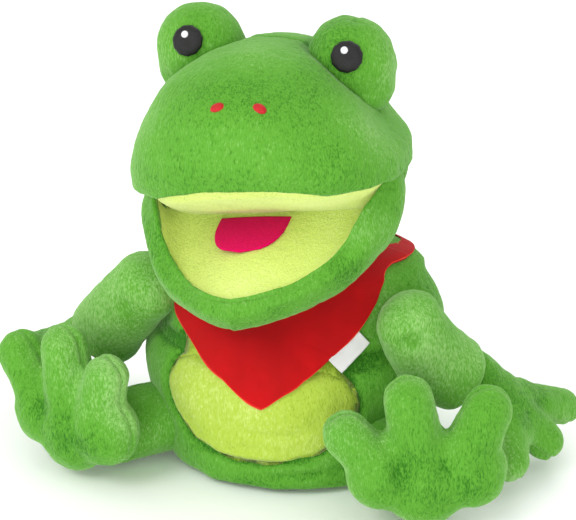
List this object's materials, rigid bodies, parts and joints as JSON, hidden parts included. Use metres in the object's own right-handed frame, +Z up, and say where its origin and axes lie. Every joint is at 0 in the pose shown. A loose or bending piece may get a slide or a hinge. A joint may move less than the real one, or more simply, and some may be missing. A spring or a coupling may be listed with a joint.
{
  "type": "hand puppet",
  "caption": "Plush frog hand puppet: hollow sleeve body, head with a moving mouth, stuffed arms and legs, and a tied neckerchief.",
  "frame": {"origin": "centre of the bounding box's footprint, on the surface that the frog sits on", "axes": "+Z up, the frog faces -Y, the frog's left side is +X"},
  "size_m": [0.317, 0.1732, 0.2395],
  "materials": {
    "green_plush": "short-pile green plush with a pale sheen",
    "lime_plush": "short-pile lime plush",
    "filling": "white polyester fibre filling",
    "white_lining": "plain woven lining",
    "red_cotton": "plain woven red cotton",
    "hook_and_loop": "red hook-and-loop tape",
    "white_ribbon": "blank woven ribbon",
    "stiffener": "flexible plastic sheet",
    "magenta_felt": "smooth magenta felt",
    "black_thread": "satin-stitched black thread",
    "white_thread": "white embroidery thread",
    "red_thread": "red embroidery thread"
  },
  "bodies": {
    "body": {"base_panel": "green_plush", "belly_panel": "lime_plush", "body_filling": "filling", "body_shell": "green_plush", "hand_liner": "white_lining", "bandana": "red_cotton", "bandana_fastener": "hook_and_loop", "bandana_label": "white_ribbon"},
    "neck": {"neck_sleeve": "green_plush"},
    "head": {"head_front": "green_plush", "head_back": "green_plush", "head_filling": "filling", "mouth_lining_upper": "lime_plush", "mouth_board_upper": "stiffener", "eye_bump_left": "green_plush", "eye_bump_right": "green_plush", "eye_left": "black_thread", "eye_right": "black_thread", "eye_highlight_left": "white_thread", "eye_highlight_right": "white_thread", "nostril_left": "red_thread", "nostril_right": "red_thread"},
    "jaw": {"chin_panel": "green_plush", "chin_filling": "filling", "mouth_lining_lower": "lime_plush", "mouth_board_lower": "stiffener", "tongue": "magenta_felt"},
    "arm_left": {"arm_left": "green_plush"},
    "hand_left": {"hand_back_left": "green_plush", "hand_palm_left": "green_plush"},
    "leg_left": {"leg_left": "green_plush"},
    "foot_left": {"foot_sole_left": "green_plush", "foot_instep_left": "green_plush"},
    "arm_right": {"arm_right": "green_plush"},
    "hand_right": {"hand_back_right": "green_plush", "hand_palm_right": "green_plush"},
    "leg_right": {"leg_right": "green_plush"},
    "foot_right": {"foot_sole_right": "green_plush", "foot_instep_right": "green_plush"}
  },
  "joints": [
    {"name": "neck_turn", "type": "hinge", "parent": "body", "child": "neck", "pos_m": [0.0111, 0.0153, 0.12], "axis": [0, 0, 1], "range_deg": [-8, 8]},
    {"name": "head_nod", "type": "hinge", "parent": "neck", "child": "head", "pos_m": [0.0111, 0.0153, 0.136], "axis": [1, 0, 0], "range_deg": [-14, 2]},
    {"name": "jaw_open", "type": "hinge", "parent": "head", "child": "jaw", "pos_m": [0.0111, -0.0207, 0.137], "axis": [1, 0, 0], "range_deg": [-33, 2]},
    {"name": "shoulder_left", "type": "hinge", "parent": "body", "child": "arm_left", "pos_m": [0.0831, -0.0257, 0.099], "axis": [0.6854, -0.7282, 0], "range_deg": [-1, 60]},
    {"name": "wrist_left", "type": "hinge", "parent": "arm_left", "child": "hand_left", "pos_m": [0.1171, 0.0063, 0.048], "axis": [0.307, -0.9517, 0], "range_deg": [-12, 40]},
    {"name": "hip_left", "type": "hinge", "parent": "body", "child": "leg_left", "pos_m": [0.0781, -0.0317, 0.019], "axis": [-0.7295, -0.6839, 0], "range_deg": [-40, 8]},
    {"name": "ankle_left", "type": "hinge", "parent": "leg_left", "child": "foot_left", "pos_m": [0.0911, -0.0447, 0.019], "axis": [0.9404, 0.3401, 0], "range_deg": [-7, 15]},
    {"name": "shoulder_right", "type": "hinge", "parent": "body", "child": "arm_right", "pos_m": [-0.0609, -0.0257, 0.099], "axis": [0.5026, 0.8645, 0], "range_deg": [-1, 60]},
    {"name": "wrist_right", "type": "hinge", "parent": "arm_right", "child": "hand_right", "pos_m": [-0.1039, -0.0007, 0.047], "axis": [-0.1376, 0.9905, 0], "range_deg": [-12, 40]},
    {"name": "hip_right", "type": "hinge", "parent": "body", "child": "leg_right", "pos_m": [-0.0559, -0.0317, 0.019], "axis": [-0.7295, 0.6839, 0], "range_deg": [-40, 8]},
    {"name": "ankle_right", "type": "hinge", "parent": "leg_right", "child": "foot_right", "pos_m": [-0.0689, -0.0447, 0.019], "axis": [0.9404, -0.3401, 0], "range_deg": [-7, 15]}
  ]
}
